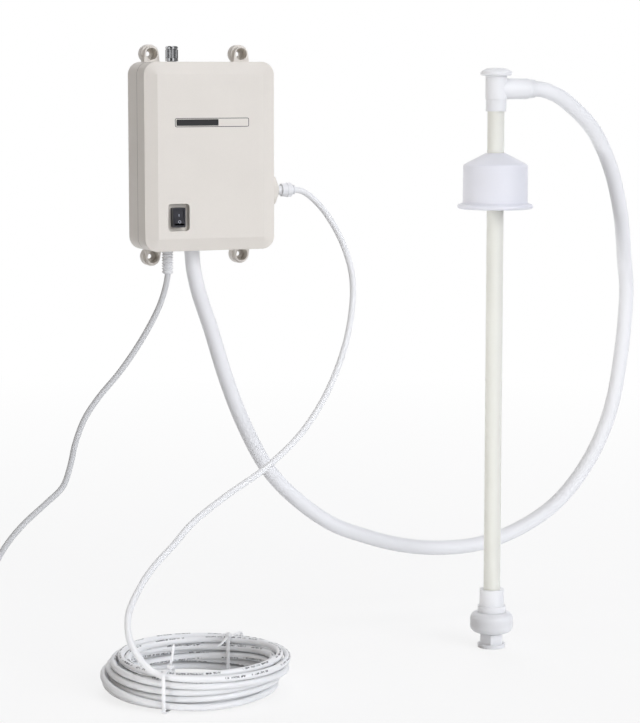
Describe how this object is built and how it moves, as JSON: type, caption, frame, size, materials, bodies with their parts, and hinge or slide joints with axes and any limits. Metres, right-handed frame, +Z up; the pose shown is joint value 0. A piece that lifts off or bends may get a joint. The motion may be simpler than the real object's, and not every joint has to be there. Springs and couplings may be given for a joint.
{
  "type": "bottled water pump",
  "caption": "Wall-mounted electric pump that draws drinking water from a bottle through a suction wand and hose and delivers it through a tube.",
  "frame": {"origin": "centre of the four wall screw holes, on the wall plane", "axes": "+Y into the wall, so the front faces -Y; +Z up; +X to the right seen from the front"},
  "size_m": [0.8237, 0.3023, 0.6112],
  "materials": {
    "case_beige": "fine satin",
    "steel": "satin",
    "switch_black": "semi-gloss",
    "brass": "satin",
    "knob_metal": "turned",
    "dark_plastic": "matte",
    "board_green": "satin",
    "rubber_black": "matte",
    "rubber_white": "satin",
    "hose_white": "satin",
    "tube_white": "satin",
    "cream_plastic": "matte",
    "white_plastic": "semi-gloss",
    "pipe_ivory": "satin",
    "cap_white": "semi-gloss"
  },
  "bodies": {
    "pump": {"rear_shell": "case_beige", "front_cover": "case_beige", "case_screws": "steel", "switch_body": "switch_black", "switch_terminals": "brass", "potentiometer": "dark_plastic", "pot_nut": "steel", "strain_relief": "rubber_white", "power_cord": "rubber_white", "power_cord_coil": "rubber_white", "cord_ties": "tube_white", "power_plug": "rubber_white", "plug_blades": "brass", "power_board": "board_green", "board_transformer": "dark_plastic", "board_capacitors": "dark_plastic", "inner_screws": "steel", "motor_can": "steel", "motor_end_cap": "dark_plastic", "wobble_plate": "cream_plastic", "diaphragm": "rubber_black", "valve_plate": "cream_plastic", "check_valves": "rubber_black", "pump_base": "dark_plastic", "pump_head": "dark_plastic", "pump_screws": "steel", "pressure_barrel": "dark_plastic", "pressure_spring": "steel", "micro_switch": "dark_plastic", "pump_bracket": "steel", "pump_feet": "rubber_black", "inlet_elbow": "white_plastic", "inlet_clamp": "steel", "hose_grommet": "rubber_white", "suction_hose": "hose_white", "outlet_link": "hose_white", "outlet_fitting": "white_plastic", "outlet_nut": "white_plastic", "outlet_tube": "tube_white", "outlet_coil": "tube_white", "wand_tee": "white_plastic", "wand_plug": "white_plastic", "wand_pipe": "pipe_ivory", "foot_collar": "white_plastic", "float_housing_top": "white_plastic", "float_housing_base": "white_plastic", "foot_nut": "white_plastic", "strainer": "steel"},
    "rocker": {"switch_rocker": "switch_black"},
    "knob": {"flow_knob": "knob_metal", "pot_shaft": "steel"},
    "rotor": {"motor_shaft": "steel", "drive_cam": "cream_plastic", "cam_bearing": "steel"},
    "plunger": {"pressure_plunger": "cream_plastic"},
    "collet": {"outlet_collet": "white_plastic"},
    "cap": {"bottle_cap": "cap_white", "cap_grommet": "rubber_white"},
    "float": {"float": "white_plastic"}
  },
  "joints": [
    {"name": "rocker_tilt", "type": "hinge", "parent": "pump", "child": "rocker", "pos_m": [-0.035, -0.0529, -0.06], "axis": [1, 0, 0], "range_deg": [0, 20]},
    {"name": "knob_turn", "type": "hinge", "parent": "pump", "child": "knob", "pos_m": [-0.03, -0.024, 0.094], "axis": [0, 0, 1], "range_deg": [-150, 150]},
    {"name": "motor_spin", "type": "hinge", "parent": "pump", "child": "rotor", "pos_m": [0.026, -0.029, 0.013], "axis": [0, 0, 1], "continuous": true},
    {"name": "plunger_slide", "type": "slide", "parent": "pump", "child": "plunger", "axis": [0, 0, -1], "range_m": [0, 0.0015], "stiffness_N_per_m": 1500, "springref_m": -0.002, "deforming": ["pressure_spring"]},
    {"name": "collet_press", "type": "slide", "parent": "pump", "child": "collet", "axis": [-1, 0, 0], "range_m": [0, 0.0012]},
    {"name": "cap_slide", "type": "slide", "parent": "pump", "child": "cap", "axis": [0, 0, 1], "range_m": [-0.38, 0.04]},
    {"name": "float_slide", "type": "slide", "parent": "pump", "child": "float", "axis": [0, 0, 1], "range_m": [0, 0.004]}
  ]
}
